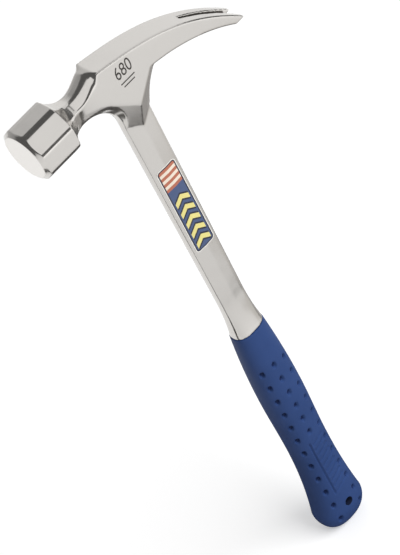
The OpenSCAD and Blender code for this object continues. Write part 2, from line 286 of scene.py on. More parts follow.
# The nose at x, from the side flat down to the crown, as pairs of half thickness and height
def noseAt(x, half):
    points = []
    for y, depth in reversed(nose):
        z = underZ(x, depth)
        points.append((min(y * half / nose[-1][0], slopeHalf(x, z)), z))
    return points


# The same number of points on an octagon's lower corner and on half of its lower flat
def octagonNose(half):
    cut = 2 * half * octagonCorner
    points = []
    for i in range(len(nose)):
        s = 2 * i / (len(nose) - 1)
        points.append((half - cut * s, drumZ - half + cut * (1 - s)) if s <= 1
                      else ((half - cut) * (2 - s), drumZ - half))
    return points


# Ring of the neck: rounded upper corners, and the nose below
def neckRing(x, upperZ, half, top, under, topRadius, sideRadius):
    corners = [(x, top - half, upperZ), (x, half - top, upperZ), (x, half, upperZ - top),
               (x, *under[0])]
    upper = cornerArc(*corners[:3], topRadius) + cornerArc(*corners[1:], sideRadius)
    lower = [(x, y, z) for y, z in under]
    ring = [tuple(p) for p in upper] + lower + [(x, -y, z) for x, y, z in lower[-2::-1]]
    ring += [(p.x, -p.y, p.z) for p in reversed(upper)]
    return [(x + axisX, y, z) for x, y, z in ring]


# The neck leaves the drum on a hollow shoulder, runs level to the arch and rises to the cheeks
neck = {"shoulderSteps": 26, "rearSteps": 40, "shoulderPower": 2.4, "softRise": 0.35,
        "risePower": 2.1, "spreadPower": 2, "sideGrow": 1.6, "sideLate": 0.2, "overlap": 1,
        "endRadius": 0.1}


def makeNeck():
    corner = octagonCorner * head["neckWidth"]
    seat = head["drumWidth"] / 2 - head["backBevel"]
    shoulderX = faceReach + head["drumLength"]
    front = -head["cheekFront"]

    def shoulderRing(x, k):
        half = mix(head["neckWidth"] / 2, seat, k)
        under = [(mix(a[0], b[0], k), mix(a[1], b[1], k))
                 for a, b in zip(noseAt(waistX, half), octagonNose(seat))]
        return neckRing(x, drumZ + mix(head["neckRise"], seat, k), half,
                        mix(corner, 2 * seat * octagonCorner, k), under,
                        head["neckEdgeRadius"], head["neckEdgeRadius"])

    rings = [shoulderRing(shoulderX - head["backBevel"], 1)]
    for i in range(neck["shoulderSteps"]):
        s = i / neck["shoulderSteps"]
        rings.append(shoulderRing(mix(shoulderX, waistX, s),
                                  (1 - s) ** neck["shoulderPower"]))
    tongueStart = 1 - head["tongue"] / (front - waistX)
    for i in range(neck["rearSteps"] + 1):
        s = i / neck["rearSteps"]
        x = mix(waistX, front, s)
        toTongue = s / tongueStart
        rise = (smooth(toTongue) * neck["softRise"]
                + min(1, toTongue) ** neck["risePower"] * (1 - neck["softRise"]))
        spread = max(0, (s - tongueStart) / (1 - tongueStart)) ** neck["spreadPower"]
        half = mix(head["neckWidth"], head["cheekWidth"], smooth(s)) / 2
        topRadius, sideRadius = (mix(head["neckEdgeRadius"], head["cheekEdgeRadius"], smooth(k))
                                 for k in (s, neck["sideGrow"] * s - neck["sideLate"]))
        rings.append(neckRing(x, mix(drumZ + head["neckRise"], topZ, rise), half,
                              mix(corner, head["cornerCut"], spread), noseAt(x, half),
                              topRadius, sideRadius))
    over = neck["overlap"]  # last ring, smaller all round and inside the claw's root
    under = [(max(0, y - over), z + over) for y, z in noseAt(front, head["cheekWidth"] / 2)]
    rings.append(neckRing(front + over, topZ - over, head["cheekWidth"] / 2 - over,
                          head["cornerCut"], under, neck["endRadius"], neck["endRadius"]))
    return newObject("neck", loftRings(rings))


# Underside of the claw in the side view, one arc from its root to its tips
def underPoint(s):
    start = Vector((-head["cheekFront"], drumZ - head["clawRootDrop"]))
    end = Vector((clawReach + head["tipSpare"] - head["clawEnd"], clawTipZ))
    chord = end - start
    along = chord.normalized()
    left = Vector((-along[1], along[0]))
    rise = head["clawUnderRise"]
    radius = ((chord.length / 2) ** 2 + rise * rise) / (2 * rise)
    turn = math.asin(chord.length / 2 / radius) * (2 * s - 1)
    return ((start + end) / 2 - left * (radius - rise)
            + radius * (along * math.sin(turn) + left * math.cos(turn)))


# Top of cheeks and claw in the side view
def topPoint(s):
    fall = mix(s ** head["topPower"], s, head["topBlend"])
    return Vector((mix(-head["cheekFront"], clawReach + head["tipSpare"], s),
                   topZ - head["clawDrop"] * fall))


def makeClaw(steps=56):
    rings = []
    for i in range(steps + 1):
        s = i / steps
        taper = max(0, (s - head["taperFrom"]) / (1 - head["taperFrom"])) ** head["taperPower"]
        half = mix(head["cheekWidth"], head["clawTipWidth"], taper) / 2
        rings.append(clawRing(underPoint(s), topPoint(s), half, head["cornerCut"],
                              head["edgeRadius"]))
    claw = newObject("claw", loftRings(rings))
    tip, past = clawReach + axisX, head["slotPast"]
    high, low = topZ, clawTipZ - past
    stations = [(tip - head["slotLength"], head["slotRoot"]),
                (tip - head["slotMouthLength"], head["slotNeck"]),
                (tip + past, head["slotMouth"])]
    for (fromX, fromWidth), (toX, toWidth) in zip(stations, stations[1:]):
        corners = []
        for z, grow in ((high, 0), (low, head["slotFlare"])):
            for x, width in ((fromX, fromWidth), (toX, toWidth)):
                corners += [(x, width / 2 + grow, z), (x, -width / 2 - grow, z)]
        combine(claw, newObject("slot", hullOf(corners)), "DIFFERENCE")
    return claw


# Cutter that leaves the nose round the arch and down the front edge of the web. It stands a
# little off the nose, reaches past both flats and runs on below the facets
cutter = {"steps": 40, "offNose": 0.04, "wider": 1.01, "halfThick": 12, "inner": 1, "below": 4}


def noseCutter():
    inner, outer = head["archRadius"] - cutter["inner"], head["archRadius"] + nose[-1][1]
    section = [(head["archRadius"] + depth, -y) for y, depth in reversed(nose)]
    section += [(head["archRadius"] + depth, y) for y, depth in nose[1:]]
    section = [(r - cutter["offNose"], y * cutter["wider"]) for r, y in section]
    section += [(outer, cutter["halfThick"]), (inner, cutter["halfThick"]),
                (inner, -cutter["halfThick"]), (outer, -cutter["halfThick"])]
    rings = []
    for i in range(cutter["steps"] + 1):
        turn = math.pi / 2 * i / cutter["steps"]
        rings.append([(waistX + r * math.sin(turn), y,
                       archZ + r * math.cos(turn)) for r, y in section])
    rings.append([(waistX + r, y, shankTipZ - cutter["below"]) for r, y in section])
    rings = [[(x + axisX, y, z) for x, y, z in ring] for ring in rings]
    return newObject("noseCutter", loftRings(rings))


# How far the web runs into the claw and the neck, over the claw's root and past the cheek flats
webFit = {"intoClaw": 1, "intoNeck": 0.3, "overRoot": 0.5, "pastFlats": 1}


# Web below the cheeks: the side outline with its arch and crotch, cut by the V-shaped facets
def makeWeb(curveSteps=24):
    rootX = shank["width"] / 2 + head["crotchReach"]
    s = 0.5
    for _ in range(12):  # walks along the claw's underside until it is above rootX
        s += (rootX - underPoint(s)[0]) / (clawReach + head["cheekFront"])
    root = underPoint(s)
    along = (underPoint(s - 0.01) - root).normalized()
    foot = Vector((shank["width"] / 2, root[1] - head["crotchHeight"]))
    back, front = rootX + webFit["intoClaw"], -head["cheekFront"] - webFit["intoNeck"]
    shares = [i / curveSteps for i in range(curveSteps + 1)]
    firstTurn = math.asin((front - waistX) / head["archRadius"])
    outline = [archPoint(mix(firstTurn, math.pi / 2, t)) for t in shares]
    outline += [(-shank["width"] / 2, shankTipZ), (shank["width"] / 2, shankTipZ)]
    upper = foot + Vector((0, head["crotchPull"] * head["crotchHeight"]))
    lower = root + along * head["crotchPull"] * head["crotchReach"]
    for t in shares:
        p = (foot * (1 - t) ** 3 + upper * 3 * t * (1 - t) ** 2
             + lower * 3 * t * t * (1 - t) + root * t ** 3)
        outline.append((p[0], p[1]))
    outline += [(back, root[1] + webFit["overRoot"]), (back, drumZ), (front, drumZ)]
    outline = [(x + axisX, z) for x, z in outline]
    web = newObject("web", plate(outline, head["cheekWidth"] + webFit["pastFlats"]))
    wide = [(front, cheekFrontZ(front)), (head["cheekTip"], cheekTipZ),
            (back, cheekTipZ + (back - head["cheekTip"]) * rearSlope),
            (back, drumZ), (front, drumZ)]
    narrow = [(front, shankTipZ - front * frontSlope), (0, shankTipZ),
              (back, shankTipZ + back * rearSlope), (back, drumZ), (front, drumZ)]
    corners = []
    for facet, thick in ((wide, head["cheekWidth"]), (narrow, shank["edgeThick"])):
        corners += [(x + axisX, side * thick / 2, z) for x, z in facet for side in (-1, 1)]
    combine(web, newObject("facets", hullOf(corners)), "INTERSECT")
    combine(web, noseCutter(), "DIFFERENCE")
    return web


def ovalPoint(halfX, halfY, turn):
    c, s = math.cos(turn), math.sin(turn)
    power = 2 / handle["ovalPower"]
    return (halfX * math.copysign(abs(c) ** power, c), halfY * math.copysign(abs(s) ** power, s))


# Shank section: flat sides with a low middle ridge and round edges, or the grip's oval, by the
# share asOval. A quarter of it has points round the edge, and then along the flat
edgeTurns = (0, 0.4, 0.8, 1.2, math.pi / 2)
flatShares = (0.28, 0.5, 0.8, 1)
ovalTurns = (0, 12, 24, 35, 45, 56, 67, 79, 90)


def shankRing(z, width, edgeThick, middleThick, asOval):
    a, e, m = width / 2, edgeThick / 2, middleThick / 2
    flat = [(a - shank["nose"] * (1 - math.cos(t)), e * math.sin(t)) for t in edgeTurns]
    flat += [(a * (1 - share), mix(e, m, share)) for share in flatShares]
    quarter = []
    for (x, y), turn in zip(flat, ovalTurns):
        oval = ovalPoint(a, m, math.radians(turn))
        quarter.append((mix(x, oval[0], asOval), mix(y, oval[1], asOval)))
    points = quarter + [(-x, y) for x, y in quarter[-2::-1]]
    points += [(-x, -y) for x, y in quarter[1:]] + [(x, -y) for x, y in quarter[-2:0:-1]]
    return [(x + axisX, y, z) for x, y in points]


def shankWidth(z):
    low = rimZ + shank["flareLength"]
    return mix(shank["lowWidth"], shank["width"], (z - low) / (archZ - low))


def makeShank(flareSteps=28):
    top = archZ + shank["intoWeb"]
    rings = [shankRing(top, shankWidth(top), shank["edgeThick"], shank["middleThick"], 0)]
    for i in range(flareSteps + 1):
        s = i / flareSteps
        k = s ** shank["flarePower"]
        rings.append(shankRing(rimZ + shank["seam"] + shank["flareLength"] * (1 - s),
                               mix(shank["lowWidth"], shank["flareWidth"], k),
                               mix(shank["edgeThick"], shank["flareThick"], k),
                               mix(shank["middleThick"], shank["flareThick"], k), smooth(s)))
    for z in (rimZ + shank["seam"], rimZ - shank["insideGrip"]):
        rings.append(shankRing(z - shank["collarStep"], shank["collarWidth"],
                               shank["collarThick"], shank["collarThick"], 1))
    return newObject("shank", loftRings(rings))


# Overlapping bodies are melted into one skin of small quads, and their edges are dressed as
# on a belt, in that many passes
forging = {"skin": 0.5, "headSkin": 0.32, "dressing": 3}


def meltTogether(name, parts, skin):
    bm = bmesh.new()
    for part in parts:
        bm.from_mesh(part.data)
        bpy.data.objects.remove(part)
    obj = newObject(name, bm)
    applyModifier(obj, "REMESH", mode="VOXEL", voxel_size=skin, adaptivity=0)
    bm = bmesh.new()
    bm.from_mesh(obj.data)
    for _ in range(forging["dressing"]):
        bmesh.ops.smooth_vert(bm, verts=bm.verts, factor=0.5,
                              use_axis_x=True, use_axis_y=True, use_axis_z=True)
    bm.to_mesh(obj.data)
    bm.free()
    print(name, len(obj.data.polygons), "faces")
    return obj


# Moulded grip: widths and thicknesses at heights over the butt. buttRows of its rows round
# the butt off, as far as buttTurn degrees
grip = {
    "rim": (22.4, 16.4), "palm": (27.4, 23), "palmZ": 118, "waist": (25.6, 22), "waistZ": 72,
    "butt": (34.2, 25), "buttZ": 14.5, "buttLean": 1.6, "flarePower": 2.2, "hangWidth": 5.6,
    "hangZ": 19, "sides": 224, "rows": 300, "buttRows": 26, "buttTurn": 89.2, "buttPower": 0.65,
    "plainBelow": 4, "rimRadius": 0.35, "rimSteps": 5, "rimGap": 0.05, "lip": 1.95,
    "lipDepth": 12, "lipTop": 0.3, "lipEdge": 0.1, "drillLength": 40, "hangSpare": 0.05,
}
# Three rows of dimples on each side, by row: the front one, the middle one and the rear one.
# Inside the spread dark of a dimple, the vinyl gets painted shade
dimple = {
    "firstZ": {-1: 147.2, 0: 148.6, 1: 146.1}, "rowX": {-1: -9.7, 0: -1, 1: 7.8},
    "count": {-1: 12, 0: 6, 1: 12}, "pitch": 12.3, "long": 2.4, "wide": 1.65, "deep": 2.1,
    "power": 0.6, "tilt": 14, "dark": 0.72, "near": 3.2,
}
# Panel of slanted ribs with one groove beside it
ribPanel = {
    "fromZ": 31, "toZ": 79, "fromX": -3.6, "toX": 6.4, "pitch": 4.8, "wide": 1.7, "deep": 0.8,
    "slant": 0.35, "softEnd": 0.6, "grooveOut": 1.2, "grooveWide": 1.5, "beside": 2, "fromY": 5,
}


# Half width and half thickness at z
def gripHalf(z):
    if z < grip["waistZ"]:
        near, far = "waist", "butt"
        s = ((grip["waistZ"] - z) / (grip["waistZ"] - grip["buttZ"])) ** grip["flarePower"]
    elif z < grip["palmZ"]:
        near, far = "waist", "palm"
        s = smooth((z - grip["waistZ"]) / (grip["palmZ"] - grip["waistZ"]))
    else:
        near, far = "palm", "rim"
        s = ((z - grip["palmZ"]) / (rimZ - grip["palmZ"])) ** 2
    return [mix(a, b, s) / 2 for a, b in zip(grip[near], grip[far])]


# The butt leans forward, to the striking face
def gripLean(z):
    return grip["buttLean"] * max(0, (grip["waistZ"] - z) / grip["waistZ"]) ** grip["flarePower"]


def gripPoint(turn, z, share, inset):
    halfX, halfY = gripHalf(max(z, grip["buttZ"]))
    x, y = ovalPoint(halfX * share - inset, halfY * share - inset, turn)
    return Vector((x - gripLean(z) + axisX, y, z))


# Place on the outer face at x from the centre line, on the side where y has the sign of side
def gripSurface(x, z, side):
    halfX, halfY = gripHalf(z)
    share = min(0.999, abs(x + gripLean(z)) / halfX)
    y = halfY * (1 - share ** handle["ovalPower"]) ** (1 / handle["ovalPower"])
    return Vector((x + axisX, side * y, z))


def gripNormal(x, z, side, stepX=0.2, stepZ=0.5):
    alongX = gripSurface(x + stepX, z, side) - gripSurface(x - stepX, z, side)
    alongZ = gripSurface(x, z + stepZ, side) - gripSurface(x, z - stepZ, side)
    normal = alongX.cross(alongZ).normalized()
    return normal if normal.y * side > 0 else -normal


def placeDimples():
    places = []
    for side in (-1, 1):
        for row in (-1, 0, 1):
            for i in range(dimple["count"][row]):
                z = dimple["firstZ"][row] - dimple["pitch"] * i
                x = dimple["rowX"][row]
                normal = gripNormal(x, z, side)
                slope = math.radians(dimple["tilt"] * row)
                along = Vector((-math.sin(slope), 0, math.cos(slope)))
                along = (along - normal * along.dot(normal)).normalized()
                places.append((gripSurface(x, z, side), normal, along, normal.cross(along)))
    return places


# How deep the mould is at x and z: in the straight groove, or between two ribs
def panelDepth(x, z):
    fromX, toX, fromZ, toZ = (ribPanel[key] for key in ("fromX", "toX", "fromZ", "toZ"))
    if not fromZ < z < toZ or not fromX - ribPanel["beside"] < x < toX:
        return 0
    edge = min(1, *(inside / ribPanel["softEnd"] for inside in (toX - x, z - fromZ, toZ - z)))
    if x < fromX:
        gap = abs(x - fromX + ribPanel["grooveOut"]) / (ribPanel["grooveWide"] / 2)
    else:
        phase = (z - ribPanel["slant"] * x - fromZ) % ribPanel["pitch"]
        gap = abs(phase - ribPanel["pitch"] / 2) / (ribPanel["wide"] / 2)
        edge = min(edge, (x - fromX) / ribPanel["softEnd"])
    return ribPanel["deep"] * edge * max(0, 1 - gap ** 2)


# A tube of quads that follows the grip from inside the rim, over it and down to the butt
def makeGrip():
    bm = bmesh.new()
    bmesh.ops.create_cone(bm, cap_ends=False, segments=grip["sides"], radius1=1, radius2=1,
                          depth=1)
    upright = [e for e in bm.edges if abs(e.verts[0].co.z - e.verts[1].co.z) > 0.5]
    bmesh.ops.subdivide_edges(bm, edges=upright, cuts=grip["rows"] - 1, use_grid_fill=True)
    radius, lip = grip["rimRadius"], grip["lip"]
    rim = rimZ - grip["rimGap"]
    # Each row of the tube: its height, its share of the full width, and how far inside it lies
    inside = (grip["lipDepth"], grip["lipDepth"] / 2, grip["lipTop"])
    path = [(rimZ - depth, 1, lip) for depth in inside]
    path += [(rim, 1, lip - grip["lipEdge"]), (rim, 1, lip / 2)]
    for i in range(grip["rimSteps"] + 1):
        turn = math.pi / 2 * i / grip["rimSteps"]
        path.append((rim - radius * (1 - math.cos(turn)), 1, radius * (1 - math.sin(turn))))
    outerRows = grip["rows"] + 1 - len(path) - grip["buttRows"]
    for i in range(1, outerRows + 1):
        path.append((mix(rim - radius, grip["buttZ"], i / outerRows), 1, 0))
    for i in range(1, grip["buttRows"] + 1):
        turn = math.radians(grip["buttTurn"] * i / grip["buttRows"])
        fall = math.sin(turn) / math.sin(math.radians(grip["buttTurn"]))
        path.append((grip["buttZ"] * (1 - fall), math.cos(turn) ** grip["buttPower"], 0))
    dimples = placeDimples()
    sunk = set()
    for v in bm.verts:
        turn = math.atan2(v.co.y, v.co.x)
        row = min(grip["rows"], max(0, round((0.5 - v.co.z) * grip["rows"])))
        z, share, inset = path[row]
        v.co = gripPoint(turn, z, share, inset)
        if inset > 0 or z < grip["plainBelow"]:
            continue
        side = 1 if v.co.y > 0 else -1
        x = v.co.x - axisX
        place = v.co.copy()
        if abs(v.co.y) > ribPanel["fromY"]:
            v.co.y -= side * panelDepth(x, z)
        for centre, normal, along, across in dimples:
            if abs(centre.z - z) < dimple["near"] and centre.y * side > 0:
                away = place - centre
                spread = ((away.dot(along) / dimple["long"]) ** 2
                          + (away.dot(across) / dimple["wide"]) ** 2)
                if spread < 1:
                    v.co -= normal * dimple["deep"] * (1 - spread) ** dimple["power"]
                # Vertices near a dimple's middle are marked for painted shade
                if spread < dimple["dark"]:
                    sunk.add(v)
    # Faces deep in a dimple get painted shade: the darker vinyl tone of material 1
    for face in bm.faces:
        face.material_index = 1 if all(v in sunk for v in face.verts) else 0
    # The tube is closed at the butt, and inside the rim
    bottom = [e for e in bm.edges if e.is_boundary and max(v.co.z for v in e.verts) < 1]
    bmesh.ops.contextual_create(bm, geom=bottom)
    bmesh.ops.contextual_create(bm, geom=[e for e in bm.edges if e.is_boundary])
    bmesh.ops.recalc_face_normals(bm, faces=bm.faces)
    obj = newObject("vinyl_grip", bm)
    drill = bmesh.new()
    bmesh.ops.create_cone(drill, cap_ends=True, segments=48, radius1=grip["hangWidth"] / 2,
                          radius2=grip["hangWidth"] / 2, depth=grip["drillLength"],
                          matrix=Matrix.Translation((axisX, 0, grip["hangZ"]))
                          @ Matrix.Rotation(math.pi / 2, 4, "X"))
    combine(obj, newObject("hangDrill", drill), "DIFFERENCE")
    # The hang hole's wall gets painted shade: the darkest vinyl tone
    for polygon in obj.data.polygons:
        away = math.hypot(polygon.center.x - axisX, polygon.center.z - grip["hangZ"])
        if away < grip["hangWidth"] / 2 + grip["hangSpare"]:
            polygon.material_index = 2
    print("grip", len(obj.data.polygons), "faces")
    return obj


# Printed film on the visible side of the shank; heights inside it are counted from its lower end
label = {"width": 14.4, "length": 66, "fromZ": 250, "corner": 2.4, "proud": 0.17,
         "halo": 0.45, "border": 0.8, "clear": 0.8, "column": 1.1,
         "bandsFrom": 49.5, "bands": 7, "bandHeight": 2.2,
         "chevrons": 5, "chevronZ": 6.2, "chevronPitch": 8.3, "chevronThick": 3.6,
         "chevronLine": 1.3, "slope": 0.75}
clearX = label["width"] / 2 - label["clear"] - label["halo"] - label["border"]
inks = {"white": "#f1efe9", "navy": "#1d2136", "blue": "#42547c", "yellow": "#e6da88",
        "terracotta": "#b5694f", "cream": "#eadccb"}


# Heights at which the printed shapes change, as lines that slope down from the middle by slope
def labelLines():
    lines = [(label["bandsFrom"] + label["bandHeight"] * i, 0) for i in range(label["bands"] + 1)]
    for i in range(label["chevrons"]):
        low = label["chevronZ"] + label["chevronPitch"] * i
        high = low + label["chevronThick"]
        for z in (low - label["chevronLine"], low, high, high + label["chevronLine"]):
            lines.append((z, label["slope"]))
    return lines


# Ink at x from the middle and z: bands above, and yellow chevrons with navy lines on blue
def inkAt(x, z):
    if z > label["bandsFrom"]:
        band = int((z - label["bandsFrom"]) / label["bandHeight"])
        return "cream" if band % 2 else "terracotta"
    if x > clearX:
        return "blue"
    place = z + label["slope"] * x - label["chevronZ"]
    count = math.floor((place + label["chevronLine"]) / label["chevronPitch"])
    place -= count * label["chevronPitch"]
    if not 0 <= count < label["chevrons"] or place > label["chevronThick"] + label["chevronLine"]:
        return "blue"
    return "yellow" if 0 < place < label["chevronThick"] else "navy"


def makeLabel():
    bm = bmesh.new()
    middle = Matrix.Translation((axisX, 0, label["fromZ"] + label["length"] / 2))
    addSheet(bm, middle @ Matrix.Rotation(math.pi / 2, 4, "X"), label["width"], label["length"])
    bmesh.ops.bevel(bm, geom=list(bm.verts), offset=label["corner"], segments=8, profile=0.5,
                    affect="VERTICES", material=-1)
    names = list(inks)
    # Until a face has its ink, it has index 0, and the inks count from 1
    for ink, wide in (("white", label["halo"]), ("navy", label["border"])):
        inner = [f for f in bm.faces if f.material_index == 0]
        ring = bmesh.ops.inset_region(bm, faces=inner, thickness=wide, use_boundary=True,
                                      use_even_offset=True)["faces"]
        for face in ring:
            face.material_index = 1 + names.index(ink)
    columnsEachSide = int(label["width"] / 2 / label["column"])
    columns = [i * label["column"] for i in range(-columnsEachSide, columnsEachSide + 1)]
    for x in columns + [-clearX, clearX]:
        bmesh.ops.bisect_plane(bm, geom=bm.verts[:] + bm.edges[:] + bm.faces[:], dist=0.0001,
                               plane_co=(axisX + x, 0, 0), plane_no=(1, 0, 0))
    for z, slope in labelLines():
        for side in (-1, 1):
            faces = [f for f in bm.faces if f.material_index == 0
                     and (f.calc_center_median().x - axisX) * side > 0]
            geom = list({v for f in faces for v in f.verts})
            geom += list({e for f in faces for e in f.edges}) + faces
            bmesh.ops.bisect_plane(bm, geom=geom, dist=0.0001, plane_no=(side * slope, 0, 1),
                                   plane_co=(axisX, 0, label["fromZ"] + z))
    for face in bm.faces:
        if face.material_index == 0:
            centre = face.calc_center_median()
            ink = inkAt(abs(centre.x - axisX), centre.z - label["fromZ"])
            face.material_index = 1 + names.index(ink)
        face.material_index -= 1
    # The film is laid on the shank's section, and then gets its thickness
    for v in bm.verts:
        ring = shankRing(v.co.z, shankWidth(v.co.z), shank["edgeThick"], shank["middleThick"], 0)
        x = abs(v.co.x - axisX)
        quarter = [(p[0] - axisX, p[1]) for p in ring[:len(ovalTurns)]]
        for (x1, y1), (x2, y2) in zip(quarter, quarter[1:]):
            if x2 - 1e-6 <= x <= x1 + 1e-6:
                v.co.y = -mix(y2, y1, (x - x2) / (x1 - x2))
    thicken(bm, -label["proud"])
    return newObject("printed_label", bm)


# Plain weight mark in grams, blackened into the cheek, with two ruled lines under it: the
# place of each line below the digits, and its width
mark = {"text": "680", "x": 2.6, "z": 388.6, "height": 8.6, "width": 11.6, "proud": 0.03,
        "sunk": 0.2, "lines": ((-3.4, 10.4), (-6.0, 8.2)), "lineHeight": 0.8}


def makeMark():
    curve = bpy.data.curves.new("markText", "FONT")
    curve.body = mark["text"]
    curve.align_x = "CENTER"
    textObj = bpy.data.objects.new("markText", curve)
    bpy.context.scene.collection.objects.link(textObj)
    depsgraph = bpy.context.evaluated_depsgraph_get()
    flat = bpy.data.meshes.new_from_object(textObj.evaluated_get(depsgraph))
    bpy.data.objects.remove(textObj)
    bm = bmesh.new()
    bm.from_mesh(flat)
    xs = [v.co.x for v in bm.verts]
    ys = [v.co.y for v in bm.verts]
    bmesh.ops.translate(bm, verts=bm.verts, vec=(-(min(xs) + max(xs)) / 2, -min(ys), 0))
    bmesh.ops.scale(bm, verts=bm.verts, vec=(mark["width"] / (max(xs) - min(xs)),
                                             mark["height"] / (max(ys) - min(ys)), 1))
    for low, wide in mark["lines"]:
        addSheet(bm, Matrix.Translation((0, low, 0)), wide, mark["lineHeight"])
    place = (axisX + mark["x"], -head["cheekWidth"] / 2 - mark["proud"], mark["z"])
    bmesh.ops.transform(bm, verts=bm.verts, matrix=Matrix.Translation(place)
                        @ Matrix.Rotation(math.pi / 2, 4, "X"))
    thicken(bm, mark["sunk"])
    return newObject("weight_mark", bm)


# sRGB hex to the linear values that the shaders take
def linear(hexColour):
    values = [int(hexColour[i:i + 2], 16) / 255 for i in (1, 3, 5)]
    return [v / 12.92 if v <= 0.04045 else ((v + 0.055) / 1.055) ** 2.4 for v in values] + [1]


# Adds a node to a material or the world, with its settings, values and links
def addNode(owner, kind, inputs=None, **settings):
    node = owner.node_tree.nodes.new(kind)
    for name, value in settings.items():
        setattr(node, name, value)
    for name, value in (inputs or {}).items():
        socket = node.inputs[name]
        if isinstance(value, bpy.types.NodeSocket):
            owner.node_tree.links.new(value, socket)
        else:
            socket.default_value = value
    return node


def newMaterial(name):
    material = bpy.data.materials.new(name)
    material.use_nodes = True
    material.node_tree.nodes.clear()
    return material


def finishMaterial(material, shader):
    addNode(material, "ShaderNodeOutputMaterial", {"Surface": shader.outputs[0]})
    return material


# Forged tool steel, belt polished along its length: a satin sheen with faint lines and clouds.
# The lines are drawn coarser than a belt's, or they wouldn't show. Lengths in millimetres
steel = {"colour": "#cfccc8", "roughness": (0.14, 0.22), "lineSpacing": 0.5, "lineStretch": 0.06,
         "lineDepth": 0.02, "lineStrength": 0.05, "cloud": 18, "patches": (0.15, 0.4)}


def polishedSteel():
    material = newMaterial("belt_polished_tool_steel")
    place = addNode(material, "ShaderNodeTexCoord").outputs["Object"]
    lines = addNode(material, "ShaderNodeMapping",
                    {"Vector": place, "Scale": (steel["lineStretch"], 1, 1)})
    grain = addNode(material, "ShaderNodeTexNoise",
                    {"Vector": lines.outputs[0], "Detail": 3,
                     "Scale": 1 / (steel["lineSpacing"] * toMetres)})
    cloud = addNode(material, "ShaderNodeTexNoise",
                    {"Vector": place, "Scale": 1 / (steel["cloud"] * toMetres), "Detail": 2})
    blend = addNode(material, "ShaderNodeMath", {0: grain.outputs[0], 1: cloud.outputs[0]},
                    operation="MULTIPLY")
    rough = addNode(material, "ShaderNodeMapRange",
                    {"Value": blend.outputs[0],
                     "From Min": steel["patches"][0], "From Max": steel["patches"][1],
                     "To Min": steel["roughness"][0], "To Max": steel["roughness"][1]})
    bump = addNode(material, "ShaderNodeBump",
                   {"Height": grain.outputs[0], "Strength": steel["lineStrength"],
                    "Distance": steel["lineDepth"] * toMetres})
    shader = addNode(material, "ShaderNodeBsdfPrincipled",
                     {"Base Color": linear(steel["colour"]), "Metallic": 1,
                      "Roughness": rough.outputs[0], "Normal": bump.outputs[0]})
    return finishMaterial(material, shader)


# Steel under a dark oxide, patchy and nearly matt: laser blackening, a thin matt film. The walls
# of the nail slot get a thicker, greyer patchy dark steel: painted shade
oxideAndShadeFinishes = {
    "laser_blackened_steel": {"patch": 0.4, "detail": 2, "dark": "#2c2926", "pale": "#4a4642",
                              "metallic": 0.2, "roughness": 0.55},
    "slot_wall_painted_shade_steel": {"patch": 2, "detail": 3, "dark": "#3a3633", "pale": "#5b5651",
                           "metallic": 0.6, "roughness": 0.5},
}


def oxideAndShadeSteel(name):
    oxideAndShade = oxideAndShadeFinishes[name]
    material = newMaterial(name)
    place = addNode(material, "ShaderNodeTexCoord").outputs["Object"]
    patch = addNode(material, "ShaderNodeTexNoise",
                    {"Vector": place, "Scale": 1 / (oxideAndShade["patch"] * toMetres),
                     "Detail": oxideAndShade["detail"]})
    colour = addNode(material, "ShaderNodeMix",
                     {0: patch.outputs[0], 6: linear(oxideAndShade["dark"]), 7: linear(oxideAndShade["pale"])},
                     data_type="RGBA")
    shader = addNode(material, "ShaderNodeBsdfPrincipled",
                     {"Base Color": colour.outputs[2], "Metallic": oxideAndShade["metallic"],
                      "Roughness": oxideAndShade["roughness"]})
    return finishMaterial(material, shader)


# Soft vinyl, moulded in a matt tool: even colour and a fine pebble, drawn coarse enough to show,
# with a low, broad sheen. Dimples and hang hole get painted shade: darker tones of the vinyl
vinyl = {"pebble": 0.6, "pebbleDepth": 0.05, "pebbleStrength": 0.12, "cloud": 30,
         "roughness": 0.55, "ior": 1.4, "specular": 0.3}
vinylTones = {
    "moulded_soft_vinyl": ("#344e85", "#273f70"),
    "vinyl_painted_shade_in_dimples": ("#1f3261", "#1b2b55"),
    "vinyl_painted_shade_in_hang_hole": ("#101a33", "#0c142a"),
}


def mouldedVinyl(name):
    colourHere, darkHere = vinylTones[name]
    material = newMaterial(name)
    place = addNode(material, "ShaderNodeTexCoord").outputs["Object"]
    cloud = addNode(material, "ShaderNodeTexNoise",
                    {"Vector": place, "Scale": 1 / (vinyl["cloud"] * toMetres), "Detail": 2})
    colour = addNode(material, "ShaderNodeMix",
                     {0: cloud.outputs[0], 6: linear(colourHere), 7: linear(darkHere)},
                     data_type="RGBA")
    pebble = addNode(material, "ShaderNodeTexNoise",
                     {"Vector": place, "Scale": 1 / (vinyl["pebble"] * toMetres), "Detail": 1})
    bump = addNode(material, "ShaderNodeBump",
                   {"Height": pebble.outputs[0], "Strength": vinyl["pebbleStrength"],
                    "Distance": vinyl["pebbleDepth"] * toMetres})
    shader = addNode(material, "ShaderNodeBsdfPrincipled",
                     {"Base Color": colour.outputs[2], "Roughness": vinyl["roughness"],
                      "IOR": vinyl["ior"], "Specular IOR Level": vinyl["specular"],
                      "Normal": bump.outputs[0]})
    return finishMaterial(material, shader)


# One even colour whose gloss is a little uneven, by clouds of a size. Screen-printed film: a
# flat ink under a clear gloss. Ground steel of the striking face: no belt lines, and a paler,
# softer sheen than the rest
film = {"cloud": 4, "detail": 2, "metallic": 0, "roughness": (0.3, 0.42)}
ground = {"cloud": 3, "detail": 3, "metallic": 1, "roughness": (0.26, 0.34), "colour": "#ece9e5"}


